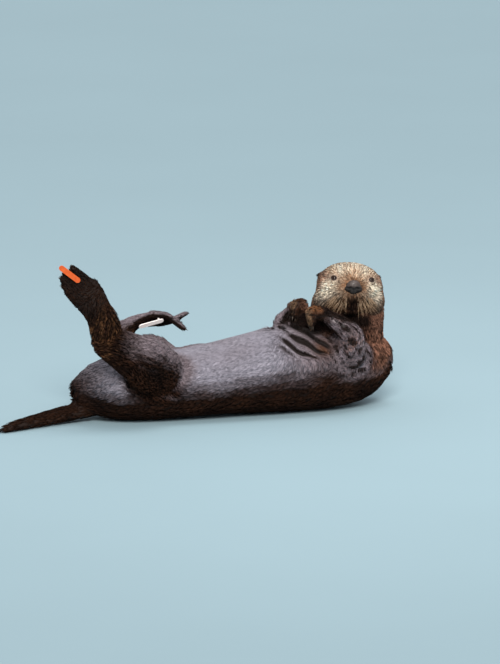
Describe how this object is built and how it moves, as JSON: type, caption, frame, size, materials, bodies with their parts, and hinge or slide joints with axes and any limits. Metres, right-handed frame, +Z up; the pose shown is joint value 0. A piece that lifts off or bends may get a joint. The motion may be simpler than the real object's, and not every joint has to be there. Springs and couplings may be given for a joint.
{
  "type": "sea otter",
  "caption": "Still life-size model of a wild sea otter resting on its back, head raised, forepaws folded on the chest and hind feet lifted, with a plastic tag on each hind foot.",
  "frame": {"origin": "on the floor under the middle of the back", "axes": "+X towards the head, +Z up through the belly (the animal lies on its back), -Y towards the animal's left"},
  "size_m": [0.9591, 0.3517, 0.392],
  "materials": {
    "wet_fur": "wet fur, satin sheen",
    "face_fur": "drier pale fur, matte",
    "paw_fur": "short wet fur, satin",
    "nose_leather": "moist pebbled leather",
    "eye": "glossy dark glass",
    "orange_tag": "moulded plastic",
    "pale_tag": "moulded plastic"
  },
  "bodies": {
    "root": {"trunk": "wet_fur", "neck": "wet_fur", "tail": "wet_fur", "foreleg_left": "wet_fur", "foreleg_right": "wet_fur", "hind_leg_left": "wet_fur", "hind_leg_right": "wet_fur", "head": "face_fur", "ear_left": "paw_fur", "ear_right": "paw_fur", "forepaw_left": "paw_fur", "forepaw_right": "paw_fur", "hind_foot_left": "paw_fur", "hind_foot_right": "paw_fur", "nose": "nose_leather", "eye_left": "eye", "eye_right": "eye", "tag_left": "orange_tag", "tag_right": "pale_tag"}
  },
  "joints": []
}
